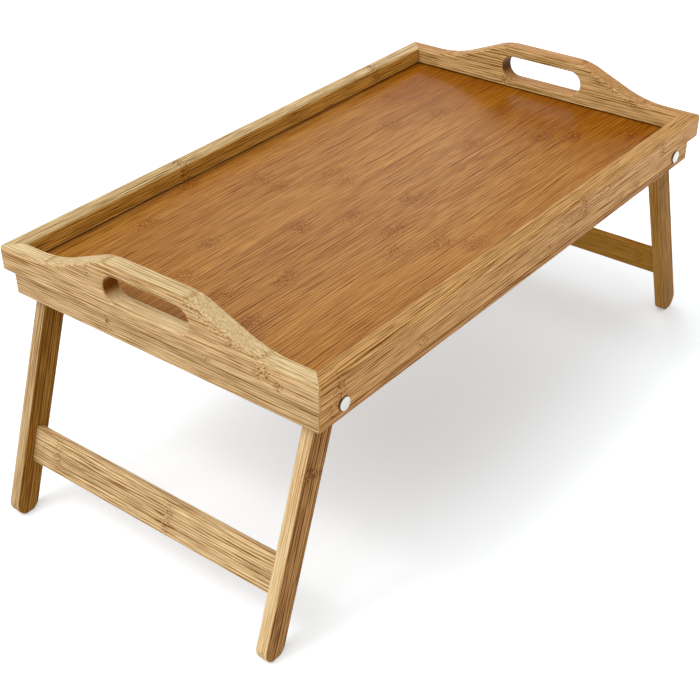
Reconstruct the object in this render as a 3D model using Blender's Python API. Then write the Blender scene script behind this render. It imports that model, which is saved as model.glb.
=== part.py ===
"""Folding bamboo bed tray, modelled as its separate pieces.

Metres, +Z up. X runs along the tray, Y across it, and the origin lies on the floor under its middle.
Four mitred rails hold a thin panel in their grooves. Two leg frames swing on screws through the long rails
and stand open here, each leaning on its end rail.
"""
import math

import bmesh
import bpy

# Gap between pieces that touch on the real tray
GAP = 0.0003

# Rails
TRAY_LENGTH = 0.500
TRAY_WIDTH = 0.290
RAIL_THICKNESS = 0.0145
BAND_HEIGHT = 0.019
STEP_DEPTH = 0.005
RIM_ROUND = 0.0024
EDGE_ROUND = 0.001
CORNER_ROUND = 0.0018

# Panel in its groove
PANEL_DROP = 0.0142
PANEL_THICKNESS = 0.0035
PANEL_BITE = 0.004

# Arched handle and its hand slot
ARCH_RISE = 0.0227
ARCH_FLAT = 0.060
ARCH_LEVEL = 0.0155
ARCH_CROWN_RADIUS = 0.050
ARCH_FOOT_RADIUS = 0.100
SLOT_LENGTH = 0.078
SLOT_HEIGHT = 0.0208
SLOT_DROP = 0.0087
SLOT_ROUND = 0.0014

# Legs, measured from the pivot down the leg
LEG_WIDTH = 0.020
LEG_THICKNESS = 0.0095
LEG_REACH = 0.1915
LEG_ROUND = 0.0008
LEG_SPLAY = math.radians(19.8)
LEG_SIDE_GAP = 0.0012
FOLD_HEADROOM = 0.001
FOLD_RECESS = 0.0005
FOOT_WEAR = 0.0006

# Stretcher between the two legs of a frame
STRETCHER_HEIGHT = 0.0284
STRETCHER_THICKNESS = 0.0065
STRETCHER_REACH = 0.132
STRETCHER_SETBACK = 0.0082
STRETCHER_ROUND = 0.001
STRETCHER_DOWEL_SPACING = 0.014

# Hidden dowels
STRETCHER_DOWEL_RADIUS = 0.0015
STRETCHER_DOWEL_IN_LEG = 0.006
STRETCHER_DOWEL_IN_BOARD = 0.014
CORNER_DOWEL_RADIUS = 0.002
CORNER_DOWEL_HALF = 0.0055
CORNER_DOWEL_INSET = 0.0075
CORNER_DOWEL_DROP = 0.0085
DOWEL_CHAMFER = 0.0005

# Two-part pivot screw: disc-headed bolt outside, disc-headed sleeve inside
HEAD_RADIUS = 0.0049
HEAD_THICKNESS = 0.0013
HEAD_CROWN = 0.0003
HEAD_ROUND = 0.0004
BOLT_RADIUS = 0.002
BOLT_LENGTH = 0.015
SLEEVE_RADIUS = 0.00325
SLEEVE_SETBACK = 0.0015
SLEEVE_HEAD_CAP = 0.0015
WASHER_RADIUS = 0.007

# Facets of the round parts, and the angle above which an edge is shaded sharp
ROUND_STEPS = 3
EDGE_STEPS = 2
ARC_STEPS = 7
LEG_END_STEPS = 12
TURNED_STEPS = 28
DOWEL_STEPS = 16
SHARP_ANGLE = math.radians(35)

# Heights and places that follow from the sizes above
PIVOT_DROP = PANEL_DROP + PANEL_THICKNESS + FOLD_HEADROOM + LEG_WIDTH / 2
RAIL_HEIGHT = PIVOT_DROP + LEG_WIDTH / 2 + FOLD_RECESS
PIVOT_HEIGHT = (LEG_REACH - LEG_WIDTH / 2) * math.cos(LEG_SPLAY) + LEG_WIDTH / 2 - FOOT_WEAR
RIM_HEIGHT = PIVOT_HEIGHT + PIVOT_DROP
STOP_DROP = RAIL_HEIGHT - EDGE_ROUND - PIVOT_DROP
STOP_REACH = LEG_WIDTH / 2 / math.cos(LEG_SPLAY) + STOP_DROP * math.tan(LEG_SPLAY)
PIVOT_X = TRAY_LENGTH / 2 - RAIL_THICKNESS - GAP - STOP_REACH
LEG_Y = TRAY_WIDTH / 2 - RAIL_THICKNESS - LEG_SIDE_GAP - LEG_THICKNESS / 2
PIVOT_HOLE_RADIUS = SLEEVE_RADIUS + GAP


def arc(center, radius, start, end, steps):
    """Points along an arc in a plane, both ends included, with angles in degrees."""
    points = []
    for step in range(steps + 1):
        angle = math.radians(start + (end - start) * step / steps)
        points.append((center[0] + radius * math.cos(angle), center[1] + radius * math.sin(angle)))
    return points


def make_material(name, color, roughness, metallic=0.0):
    """Plain Principled material of one piece."""
    material = bpy.data.materials.new(name)
    material.use_nodes = True
    shader = material.node_tree.nodes["Principled BSDF"]
    shader.inputs["Base Color"].default_value = (*color, 1.0)
    shader.inputs["Roughness"].default_value = roughness
    shader.inputs["Metallic"].default_value = metallic
    return material


def make_object(name, bm, material=None, parent=None, location=(0, 0, 0), turn=0.0):
    """Closed mesh as an object, turned about the vertical and placed in its parent's frame."""
    bmesh.ops.remove_doubles(bm, verts=bm.verts, dist=1e-6)
    bmesh.ops.recalc_face_normals(bm, faces=bm.faces)
    mesh = bpy.data.meshes.new(name)
    bm.to_mesh(mesh)
    bm.free()
    mesh.shade_smooth()
    mesh.set_sharp_from_angle(angle=SHARP_ANGLE)
    piece = bpy.data.objects.new(name, mesh)
    bpy.context.scene.collection.objects.link(piece)
    piece.location = location
    piece.rotation_euler = (0, 0, turn)
    piece.parent = parent
    if material:
        mesh.materials.append(material)
    return piece


def cut_with(piece, name, bm):
    """Boolean difference with a cutter that lies in the piece's own frame."""
    cutter = make_object(name, bm, parent=piece)
    cutter.hide_render = True
    cutter.display_type = "WIRE"
    cut = piece.modifiers.new(name, "BOOLEAN")
    cut.operation = "DIFFERENCE"
    cut.solver = "EXACT"
    cut.object = cutter


def loft(rings):
    """Solid through a row of closed rings, with a face on each end ring."""
    bm = bmesh.new()
    rows = [[bm.verts.new(point) for point in ring] for ring in rings]
    count = len(rings[0])
    for row, following in zip(rows, rows[1:]):
        for index in range(count):
            after = (index + 1) % count
            bm.faces.new((row[index], row[after], following[after], following[index]))
    bm.faces.new(rows[0])
    bm.faces.new(rows[-1])
    return bm


def turned(profile, steps):
    """Solid of revolution about Y from a profile of (radius, y) points."""
    bm = bmesh.new()
    closed = profile[0][0] > 0
    verts = [bm.verts.new((radius, y, 0)) for radius, y in profile]
    edges = [bm.edges.new(pair) for pair in zip(verts, verts[1:])]
    if closed:
        edges.append(bm.edges.new((verts[-1], verts[0])))
    bmesh.ops.spin(bm, geom=verts + edges, cent=(0, 0, 0), axis=(0, 1, 0), angle=2 * math.pi, steps=steps,
                   use_merge=True)
    return bm


def drills(holes):
    """Cylinders that cut holes, each given as start, end and radius."""
    bm = bmesh.new()
    for start, end, radius in holes:
        run = (end[0] - start[0], end[1] - start[1])
        length = math.hypot(*run)
        side = (-run[1] / length, run[0] / length)
        ring_pair = []
        for point in (start, end):
            ring = []
            for step in range(TURNED_STEPS):
                angle = 2 * math.pi * step / TURNED_STEPS
                across = radius * math.cos(angle)
                ring.append(bm.verts.new((point[0] + side[0] * across, point[1] + side[1] * across,
                                          point[2] + radius * math.sin(angle))))
            ring_pair.append(ring)
        first, second = ring_pair
        for index in range(TURNED_STEPS):
            after = (index + 1) % TURNED_STEPS
            bm.faces.new((first[index], first[after], second[after], second[index]))
        bm.faces.new(first)
        bm.faces.new(second)
    return bm


def rail_section():
    """Outline across a rail as (inset from the outer face, drop below the rim, inset of its own face).

    The upper band stands proud, the lower part steps back, and the inner face is grooved for the panel.
    """
    upper = []
    upper += arc((RIM_ROUND, RIM_ROUND), RIM_ROUND, 180, 270, ROUND_STEPS)
    upper += arc((RAIL_THICKNESS - RIM_ROUND, RIM_ROUND), RIM_ROUND, 270, 360, ROUND_STEPS)
    groove_top = PANEL_DROP - GAP
    groove_foot = PANEL_DROP + PANEL_THICKNESS + GAP
    groove_back = RAIL_THICKNESS - PANEL_BITE - GAP
    lower = [(RAIL_THICKNESS, groove_top), (groove_back, groove_top)]
    lower += [(groove_back, groove_foot), (RAIL_THICKNESS, groove_foot)]
    foot = RAIL_HEIGHT - EDGE_ROUND
    lower += arc((RAIL_THICKNESS - EDGE_ROUND, foot), EDGE_ROUND, 0, 90, EDGE_STEPS)
    lower += arc((STEP_DEPTH + EDGE_ROUND, foot), EDGE_ROUND, 90, 180, EDGE_STEPS)
    lower.append((STEP_DEPTH, BAND_HEIGHT))
    lip = arc((EDGE_ROUND, BAND_HEIGHT - EDGE_ROUND), EDGE_ROUND, 90, 180, EDGE_STEPS)
    section = [(inset, drop, 0.0) for inset, drop in upper]
    section += [(inset, drop, STEP_DEPTH) for inset, drop in lower]
    section += [(inset, drop, 0.0) for inset, drop in lip]
    return section


def corner_ring(section, half_length, half_depth, angle, end):
    """Section carried round the rounded corner up to the mitre; points inside the round meet at the mitre."""
    ring = []
    for inset, drop, face in section:
        reach = CORNER_ROUND - (inset - face)
        along = half_length - inset
        across = inset
        if reach > 0:
            along = half_length - face - CORNER_ROUND + reach * math.sin(angle)
            across = face + CORNER_ROUND - reach * math.cos(angle)
        along -= GAP / math.sqrt(2)
        ring.append((end * along, across - half_depth, -drop))
    return ring


def arch_half():
    """Right half of the arch as (distance from the middle, rise): a crown arc, a straight slope, a foot arc."""
    start = ARCH_FLAT / 2
    stop = TRAY_WIDTH / 2 - RAIL_THICKNESS - ARCH_LEVEL
    run = stop - start
    radii = ARCH_CROWN_RADIUS + ARCH_FOOT_RADIUS
    limit = (run ** 2 + ARCH_RISE ** 2) / (2 * ARCH_RISE)
    fit = min(1.0, limit / radii)
    crown = ARCH_CROWN_RADIUS * fit
    foot = ARCH_FOOT_RADIUS * fit
    span = math.hypot(run, crown + foot - ARCH_RISE)
    slope = math.asin(min(1.0, (crown + foot) / span)) - math.atan2(crown + foot - ARCH_RISE, run)
    turn = math.degrees(slope)
    points = arc((start, ARCH_RISE - crown), crown, 90, 90 - turn, ARC_STEPS)
    points += arc((stop, foot), foot, 270 - turn, 270, ARC_STEPS)
    return points


def make_rail(name, material, half_length, half_depth, turn, stations):
    """Mitred rail facing -Y in its own frame; each station is a place along it and the rim's rise there."""
    section = rail_section()
    rings = []
    for step in range(ROUND_STEPS + 1):
        angle = math.radians(45 * (1 - step / ROUND_STEPS))
        rings.append(corner_ring(section, half_length, half_depth, angle, -1))
    for along, rise in stations:
        rings.append([(along, inset - half_depth, (rise if drop <= RIM_ROUND else 0.0) - drop)
                      for inset, drop, face in section])
    for step in range(ROUND_STEPS + 1):
        angle = math.radians(45 * step / ROUND_STEPS)
        rings.append(corner_ring(section, half_length, half_depth, angle, 1))
    return make_object(name, loft(rings), material, location=(0, 0, RIM_HEIGHT), turn=turn)


def corner_dowel_place(half_length, half_depth, end):
    """Middle of a corner dowel in the rail's own frame, on the mitre."""
    return (end * (half_length - CORNER_DOWEL_INSET), CORNER_DOWEL_INSET - half_depth, -CORNER_DOWEL_DROP)


def corner_dowel_holes(half_length, half_depth):
    """Both ends' dowel holes, square to the mitres."""
    holes = []
    depth = (CORNER_DOWEL_HALF + GAP) / math.sqrt(2)
    for end in (-1, 1):
        x, y, z = corner_dowel_place(half_length, half_depth, end)
        inner = (x - end * depth, y - depth, z)
        outer = (x + end * depth, y + depth, z)
        holes.append((outer, inner, CORNER_DOWEL_RADIUS + GAP))
    return holes


def slot_cutter(half_depth):
    """Hand slot through an end rail: a stadium whose two rims flare into rounded edges."""
    walls = [(-SLOT_ROUND, SLOT_ROUND)]
    for depth, flare in arc((SLOT_ROUND, SLOT_ROUND), SLOT_ROUND, 180, 270, ROUND_STEPS):
        walls.append((depth, flare))
    walls += [(RAIL_THICKNESS - depth, flare) for depth, flare in reversed(walls)]
    middle = ARCH_RISE - SLOT_DROP - SLOT_HEIGHT / 2
    half_straight = (SLOT_LENGTH - SLOT_HEIGHT) / 2
    rings = []
    for depth, flare in walls:
        radius = SLOT_HEIGHT / 2 + flare
        outline = arc((half_straight, middle), radius, -90, 90, 2 * ARC_STEPS)
        outline += arc((-half_straight, middle), radius, 90, 270, 2 * ARC_STEPS)
        rings.append([(along, depth - half_depth, height) for along, height in outline])
    return loft(rings)


def leg_outline():
    """Leg seen from the side as (outward, down the leg): round top, round foot worn flat on the floor."""
    radius = LEG_WIDTH / 2
    outline = arc((0, 0), radius, 0, -180, LEG_END_STEPS)
    center = LEG_REACH - radius
    splay = math.degrees(LEG_SPLAY)
    flat = math.degrees(math.acos(1 - FOOT_WEAR / radius))
    down = 90 + splay
    outline += arc((0, center), radius, 180, down + flat, LEG_END_STEPS // 2)
    outline += arc((0, center), radius, down - flat, 0, LEG_END_STEPS // 2)
    return outline


def stretcher_center():
    """Middle of the stretcher's section as (outward, down the leg)."""
    return LEG_WIDTH / 2 - STRETCHER_SETBACK - STRETCHER_THICKNESS / 2, STRETCHER_REACH


def stretcher_dowel_levels():
    """How far down the leg each stretcher dowel lies."""
    reach = stretcher_center()[1]
    return {"upper": reach - STRETCHER_DOWEL_SPACING / 2, "lower": reach + STRETCHER_DOWEL_SPACING / 2}


def make_leg(name, material, pivot, outward, side):
    """Leg with softened edges, drilled for its pivot and for the stretcher's dowels."""
    bm = bmesh.new()
    verts = [bm.verts.new((outward * x, -LEG_THICKNESS / 2, -z)) for x, z in leg_outline()]
    face = bm.faces.new(verts)
    grown = bmesh.ops.extrude_face_region(bm, geom=[face])
    far_side = [item for item in grown["geom"] if isinstance(item, bmesh.types.BMVert)]
    bmesh.ops.translate(bm, verts=far_side, vec=(0, LEG_THICKNESS, 0))
    rims = [edge for edge in bm.edges if abs(edge.verts[0].co.y - edge.verts[1].co.y) < GAP]
    bmesh.ops.bevel(bm, geom=rims, offset=LEG_ROUND, segments=EDGE_STEPS, profile=0.5, affect="EDGES",
                    clamp_overlap=True)
    leg = make_object(name, bm, material, parent=pivot, location=(0, side * LEG_Y, 0))
    through = LEG_THICKNESS
    holes = [((0, -through, 0), (0, through, 0), PIVOT_HOLE_RADIUS)]
    inner_face = -side * LEG_THICKNESS / 2
    dowel_x = outward * stretcher_center()[0]
    for level in stretcher_dowel_levels().values():
        start = (dowel_x, inner_face - side * LEG_THICKNESS, -level)
        end = (dowel_x, inner_face + side * (STRETCHER_DOWEL_IN_LEG + GAP), -level)
        holes.append((start, end, STRETCHER_DOWEL_RADIUS + GAP))
    cut_with(leg, name + "_holes", drills(holes))
    return leg


def make_stretcher(name, material, pivot, outward):
    """Board between the legs with rounded long edges and dowel holes in both ends."""
    center_x, reach = stretcher_center()
    half_length = LEG_Y - LEG_THICKNESS / 2 - GAP
    half_thick = STRETCHER_THICKNESS / 2 - STRETCHER_ROUND
    half_high = STRETCHER_HEIGHT / 2 - STRETCHER_ROUND
    section = []
    for corner, (x, z) in enumerate(((1, 1), (-1, 1), (-1, -1), (1, -1))):
        start = 90 * corner
        section += arc((x * half_thick, z * half_high), STRETCHER_ROUND, start, start + 90, EDGE_STEPS)
    rings = [[(x, y, z) for x, z in section] for y in (-half_length, half_length)]
    board = make_object(name, loft(rings), material, parent=pivot, location=(outward * center_x, 0, -reach))
    holes = []
    for side in (-1, 1):
        for level in stretcher_dowel_levels().values():
            start = (0, side * (half_length + STRETCHER_DOWEL_IN_LEG), reach - level)
            end = (0, side * (half_length - STRETCHER_DOWEL_IN_BOARD - GAP), reach - level)
            holes.append((start, end, STRETCHER_DOWEL_RADIUS + GAP))
    cut_with(board, name + "_holes", drills(holes))
    return board


def dowel(radius, back, front):
    """Round pin along Y between two places, with chamfered ends."""
    tip = radius - DOWEL_CHAMFER
    return turned([(0, back), (tip, back), (radius, back + DOWEL_CHAMFER), (radius, front - DOWEL_CHAMFER),
                   (tip, front), (0, front)], DOWEL_STEPS)


def disc_head(seat, outward):
    """Half outline of a low-crowned disc head from its middle to its seat, as (radius, y)."""
    top = seat + outward * HEAD_THICKNESS
    rim = arc((HEAD_RADIUS - HEAD_ROUND, HEAD_THICKNESS - HEAD_ROUND), HEAD_ROUND, 90, 0, ROUND_STEPS)
    points = [(HEAD_RADIUS * share, top + outward * HEAD_CROWN * (1 - share ** 2)) for share in (0, 0.5)]
    points += [(radius, seat + outward * height) for radius, height in rim]
    points.append((HEAD_RADIUS, seat))
    return points


def pivot_bolt():
    """Disc-headed bolt; y is 0 on the rail's stepped outer face and grows inwards."""
    profile = disc_head(-GAP, -1)
    profile += [(BOLT_RADIUS, -GAP), (BOLT_RADIUS, BOLT_LENGTH - DOWEL_CHAMFER)]
    profile += [(BOLT_RADIUS - DOWEL_CHAMFER, BOLT_LENGTH), (0, BOLT_LENGTH)]
    return turned(profile, TURNED_STEPS)


def pivot_sleeve():
    """Disc-headed sleeve from inside the leg, with a blind bore that takes the bolt."""
    seat = RAIL_THICKNESS - STEP_DEPTH + LEG_SIDE_GAP + LEG_THICKNESS + GAP
    bore = BOLT_RADIUS + GAP
    profile = disc_head(seat, 1)
    profile += [(SLEEVE_RADIUS, seat), (SLEEVE_RADIUS, SLEEVE_SETBACK), (bore, SLEEVE_SETBACK)]
    profile += [(bore, seat - SLEEVE_HEAD_CAP), (0, seat - SLEEVE_HEAD_CAP)]
    return turned(profile, TURNED_STEPS)


def pivot_washer():
    """Flat ring that keeps the leg off the side rail."""
    near = RAIL_THICKNESS - STEP_DEPTH + GAP
    far = RAIL_THICKNESS - STEP_DEPTH + LEG_SIDE_GAP - GAP
    profile = [(PIVOT_HOLE_RADIUS, near), (WASHER_RADIUS, near), (WASHER_RADIUS, far), (PIVOT_HOLE_RADIUS, far)]
    return turned(profile, TURNED_STEPS)


def build_tray_frame(side_material, end_material, dowel_material):
    """Four rails mitred round the panel, with a hidden dowel across each mitre."""
    half_x = TRAY_LENGTH / 2
    half_y = TRAY_WIDTH / 2
    right_half = arch_half()
    arch = [(-along, rise) for along, rise in reversed(right_half)] + right_half
    for name, turn in (("front_side_rail", 0.0), ("back_side_rail", math.pi)):
        rail = make_rail(name, side_material, half_x, half_y, turn, [])
        holes = corner_dowel_holes(half_x, half_y)
        for end in (-1, 1):
            start = (end * PIVOT_X, -half_y, -PIVOT_DROP)
            stop = (end * PIVOT_X, -half_y + 2 * RAIL_THICKNESS, -PIVOT_DROP)
            holes.append((start, stop, PIVOT_HOLE_RADIUS))
        cut_with(rail, name + "_holes", drills(holes))
    for name, turn in (("right_end_rail", math.pi / 2), ("left_end_rail", -math.pi / 2)):
        rail = make_rail(name, end_material, half_y, half_x, turn, arch)
        cut_with(rail, name + "_slot", slot_cutter(half_x))
        cut_with(rail, name + "_holes", drills(corner_dowel_holes(half_y, half_x)))
    for depth_name, facing in (("front", 1), ("back", -1)):
        for end in (-1, 1):
            place = corner_dowel_place(half_x, half_y, end)
            end_name = "right" if end * facing > 0 else "left"
            location = (facing * place[0], facing * place[1], RIM_HEIGHT + place[2])
            turn = -end * math.pi / 4
            pin = dowel(CORNER_DOWEL_RADIUS, -CORNER_DOWEL_HALF, CORNER_DOWEL_HALF)
            make_object(f"corner_dowel_{depth_name}_{end_name}", pin, dowel_material, location=location, turn=turn)


def build_panel(material):
    """Thin panel that reaches into the grooves of all four rails."""
    half_x = TRAY_LENGTH / 2 - RAIL_THICKNESS + PANEL_BITE
    half_y = TRAY_WIDTH / 2 - RAIL_THICKNESS + PANEL_BITE
    rings = []
    for z in (0, -PANEL_THICKNESS):
        rings.append([(-half_x, -half_y, z), (half_x, -half_y, z), (half_x, half_y, z), (-half_x, half_y, z)])
    make_object("tray_panel", loft(rings), material, location=(0, 0, RIM_HEIGHT - PANEL_DROP))


def build_pivots(metal, washer_material):
    """Screw, sleeve and washer at each of the four pivots, seated from the stepped face of the side rail."""
    face_y = TRAY_WIDTH / 2 - STEP_DEPTH
    for depth_name, side, turn in (("front", -1, 0.0), ("back", 1, math.pi)):
        for end_name, end in (("left", -1), ("right", 1)):
            place = (end * PIVOT_X, side * face_y, PIVOT_HEIGHT)
            tag = f"{depth_name}_{end_name}"
            make_object("pivot_bolt_" + tag, pivot_bolt(), metal, location=place, turn=turn)
            make_object("pivot_sleeve_" + tag, pivot_sleeve(), metal, location=place, turn=turn)
            make_object("pivot_washer_" + tag, pivot_washer(), washer_material, location=place, turn=turn)


def build_leg_frame(end_name, outward, leg_material, board_material, dowel_material):
    """Two legs, their stretcher and its dowels, hung on an empty that lies on the pivot axis."""
    pivot = bpy.data.objects.new(end_name + "_leg_pivot", None)
    bpy.context.scene.collection.objects.link(pivot)
    pivot.location = (outward * PIVOT_X, 0, PIVOT_HEIGHT)
    pivot.rotation_euler = (0, -outward * LEG_SPLAY, 0)
    make_stretcher(end_name + "_stretcher", board_material, pivot, outward)
    joint_y = LEG_Y - LEG_THICKNESS / 2
    for depth_name, side in (("front", -1), ("back", 1)):
        make_leg(f"{depth_name}_{end_name}_leg", leg_material, pivot, outward, side)
        for level_name, level in stretcher_dowel_levels().items():
            pin = dowel(STRETCHER_DOWEL_RADIUS, -STRETCHER_DOWEL_IN_BOARD, STRETCHER_DOWEL_IN_LEG)
            place = (outward * stretcher_center()[0], side * joint_y, -level)
            turn = 0.0 if side > 0 else math.pi
            make_object(f"stretcher_dowel_{depth_name}_{end_name}_{level_name}", pin, dowel_material,
                        parent=pivot, location=place, turn=turn)


for old in list(bpy.data.objects):
    bpy.data.objects.remove(old, do_unlink=True)

side_bamboo = make_material("side_rail_bamboo", (0.48, 0.28, 0.12), 0.45)
end_bamboo = make_material("end_rail_bamboo", (0.62, 0.40, 0.17), 0.45)
panel_bamboo = make_material("panel_carbonised_bamboo", (0.40, 0.17, 0.05), 0.40)
leg_bamboo = make_material("leg_bamboo", (0.55, 0.33, 0.13), 0.45)
stretcher_bamboo = make_material("stretcher_bamboo", (0.60, 0.38, 0.16), 0.45)
dowel_bamboo = make_material("dowel_bamboo", (0.65, 0.48, 0.26), 0.60)
nickel_steel = make_material("nickel_plated_steel", (0.80, 0.80, 0.79), 0.22, 1.0)
washer_nylon = make_material("washer_nylon", (0.75, 0.73, 0.68), 0.50)

build_tray_frame(side_bamboo, end_bamboo, dowel_bamboo)
build_panel(panel_bamboo)
build_pivots(nickel_steel, washer_nylon)
build_leg_frame("left", -1, leg_bamboo, stretcher_bamboo, dowel_bamboo)
build_leg_frame("right", 1, leg_bamboo, stretcher_bamboo, dowel_bamboo)
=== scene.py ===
import math

import bmesh
import bpy
from mathutils import Matrix, Vector


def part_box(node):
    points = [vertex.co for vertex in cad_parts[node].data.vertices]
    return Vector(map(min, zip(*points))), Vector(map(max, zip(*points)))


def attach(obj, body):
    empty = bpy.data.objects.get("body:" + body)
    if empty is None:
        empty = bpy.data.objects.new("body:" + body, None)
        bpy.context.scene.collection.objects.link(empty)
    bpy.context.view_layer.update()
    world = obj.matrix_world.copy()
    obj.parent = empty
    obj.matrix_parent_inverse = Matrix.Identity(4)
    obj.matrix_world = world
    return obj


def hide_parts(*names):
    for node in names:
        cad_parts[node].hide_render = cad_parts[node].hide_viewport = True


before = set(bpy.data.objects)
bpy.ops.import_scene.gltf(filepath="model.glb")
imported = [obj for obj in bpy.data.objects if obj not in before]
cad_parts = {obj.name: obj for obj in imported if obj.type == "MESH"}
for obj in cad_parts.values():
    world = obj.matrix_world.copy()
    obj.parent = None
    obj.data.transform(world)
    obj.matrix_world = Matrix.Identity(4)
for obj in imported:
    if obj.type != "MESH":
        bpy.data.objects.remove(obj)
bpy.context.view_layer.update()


# Side rails
# Long mitred rails of laminated bamboo with a proud upper band, a stepped lower part and a groove for the
# panel. Each is moulded on a spindle, sanded, glued at its mitres and sprayed with clear satin lacquer.
front_low, front_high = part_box("front_side_rail")
end_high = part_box("right_end_rail")[1]
panel_low, panel_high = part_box("tray_panel")
HALF_LENGTH = end_high.x
HALF_WIDTH = -front_low.y
RIM_HEIGHT = front_high.z
RAIL_HEIGHT = front_high.z - front_low.z
RAIL_THICKNESS = front_high.y - front_low.y
SEAM = 0.0003
BAND_HEIGHT = 0.019
STEP_DEPTH = 0.005
RIM_ROUND = 0.0024
EDGE_ROUND = 0.001
CORNER_ROUND = 0.0018
ROUND_STEPS = 8
EDGE_STEPS = 4
MITRE_STEPS = 6
HOLE_STEPS = 48
DRILL_START = 0.01
SAME_POINT = 1e-6
SHARP_ANGLE = math.radians(35)

# Narrow gaps over the panel's edge and at each mitre give the thin dark lines of the joints
GROOVE_GAP = 0.0013
MITRE_GAP = 0.0001
GROOVE_TOP = RIM_HEIGHT - panel_high.z - GROOVE_GAP
GROOVE_FOOT = RIM_HEIGHT - panel_low.z + SEAM
GROOVE_BACK = HALF_LENGTH - panel_high.x - SEAM


def arc(center, radius, start, end, steps):
    """Points along an arc, both ends included, with angles in degrees."""
    angles = [math.radians(start + (end - start) * step / steps) for step in range(steps + 1)]
    return [(center[0] + radius * math.cos(a), center[1] + radius * math.sin(a)) for a in angles]


def loft(rings):
    """Closed solid through a row of rings, with a face on each end ring."""
    bm = bmesh.new()
    rows = [[bm.verts.new(point) for point in ring] for ring in rings]
    count = len(rings[0])
    for row, following in zip(rows, rows[1:]):
        for index in range(count):
            after = (index + 1) % count
            bm.faces.new((row[index], row[after], following[after], following[index]))
    bm.faces.new(rows[0])
    bm.faces.new(rows[-1])
    return bm


def finished(name, bm, material, place=None, cutters=()):
    """Plain mesh piece at the origin: holes cut, flat faces kept flat and rounded edges shaded smooth."""
    if place:
        bmesh.ops.transform(bm, matrix=place, verts=bm.verts)
    bmesh.ops.remove_doubles(bm, verts=bm.verts, dist=SAME_POINT)
    bmesh.ops.recalc_face_normals(bm, faces=bm.faces)
    mesh = bpy.data.meshes.new(name)
    bm.to_mesh(mesh)
    bm.free()
    piece = bpy.data.objects.new(name, mesh)
    bpy.context.scene.collection.objects.link(piece)
    tools = []
    for cutter in cutters:
        tool = finished(name + "_cutter", cutter, None, place)
        cut = piece.modifiers.new("cut", "BOOLEAN")
        cut.operation = "DIFFERENCE"
        cut.solver = "EXACT"
        cut.object = tool
        tools.append(tool)
    if material:
        mesh.materials.append(material)
        settle(piece)
    for tool in tools:
        bpy.data.objects.remove(tool)
    return piece


def settle(piece):
    """Applies the modifiers, then shades smooth with normals that lean on the large flat faces."""
    piece.data = applied(piece)
    piece.modifiers.clear()
    piece.data.shade_smooth()
    piece.data.set_sharp_from_angle(angle=SHARP_ANGLE)
    weighted = piece.modifiers.new("flat faces stay flat", "WEIGHTED_NORMAL")
    weighted.keep_sharp = True
    piece.data = applied(piece)
    piece.modifiers.clear()


def applied(piece):
    """The piece's evaluated mesh as plain data."""
    bpy.context.view_layer.update()
    graph = bpy.context.evaluated_depsgraph_get()
    return bpy.data.meshes.new_from_object(piece.evaluated_get(graph), depsgraph=graph)


def drill(start, end, radius):
    """Cylinder from start to end that cuts a round hole."""
    axis = Vector(end) - Vector(start)
    turn = axis.to_track_quat("Z", "Y").to_matrix().to_4x4()
    bm = bmesh.new()
    bmesh.ops.create_cone(bm, cap_ends=True, segments=HOLE_STEPS, radius1=radius, radius2=radius,
                          depth=axis.length,
                          matrix=Matrix.Translation((Vector(start) + Vector(end)) / 2) @ turn)
    return bm


def rail_section():
    """Outline across a rail as (inset from the outer face, drop below the rim, inset of its own face)."""
    upper = arc((RIM_ROUND, RIM_ROUND), RIM_ROUND, 180, 270, ROUND_STEPS)
    upper += arc((RAIL_THICKNESS - RIM_ROUND, RIM_ROUND), RIM_ROUND, 270, 360, ROUND_STEPS)
    foot = RAIL_HEIGHT - EDGE_ROUND
    lower = [(RAIL_THICKNESS, GROOVE_TOP), (GROOVE_BACK, GROOVE_TOP)]
    lower += [(GROOVE_BACK, GROOVE_FOOT), (RAIL_THICKNESS, GROOVE_FOOT)]
    lower += arc((RAIL_THICKNESS - EDGE_ROUND, foot), EDGE_ROUND, 0, 90, EDGE_STEPS)
    lower += arc((STEP_DEPTH + EDGE_ROUND, foot), EDGE_ROUND, 90, 180, EDGE_STEPS)
    lower.append((STEP_DEPTH, BAND_HEIGHT))
    lip = arc((EDGE_ROUND, BAND_HEIGHT - EDGE_ROUND), EDGE_ROUND, 90, 180, EDGE_STEPS)
    section = [(inset, drop, 0.0) for inset, drop in upper]
    section += [(inset, drop, STEP_DEPTH) for inset, drop in lower]
    return section + [(inset, drop, 0.0) for inset, drop in lip]


def mitre_rings(half_length, half_depth, end):
    """Section carried round the eased corner up to the mitre, from the middle of the rail outwards."""
    rings = []
    for step in range(MITRE_STEPS + 1):
        angle = math.radians(45 * step / MITRE_STEPS)
        ring = []
        for inset, drop, face in rail_section():
            reach = CORNER_ROUND - (inset - face)
            along = half_length - inset
            across = inset
            if reach > 0:
                along = half_length - face - CORNER_ROUND + reach * math.sin(angle)
                across = face + CORNER_ROUND - reach * math.cos(angle)
            ring.append((end * (along - MITRE_GAP), across - half_depth, -drop))
        rings.append(ring)
    return rings


def rail(name, material, half_length, half_depth, turn, stations, cutters):
    """Mitred rail that faces -Y before its turn. A station is a place along it and the rim's rise there."""
    rings = mitre_rings(half_length, half_depth, -1)[::-1]
    for along, rise in stations:
        rings.append([(along, inset - half_depth, (rise if drop <= RIM_ROUND else 0.0) - drop)
                      for inset, drop, face in rail_section()])
    rings += mitre_rings(half_length, half_depth, 1)
    place = Matrix.Translation((0, 0, RIM_HEIGHT)) @ Matrix.Rotation(turn, 4, "Z")
    return finished(name, loft(rings), material, place, cutters)


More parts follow.
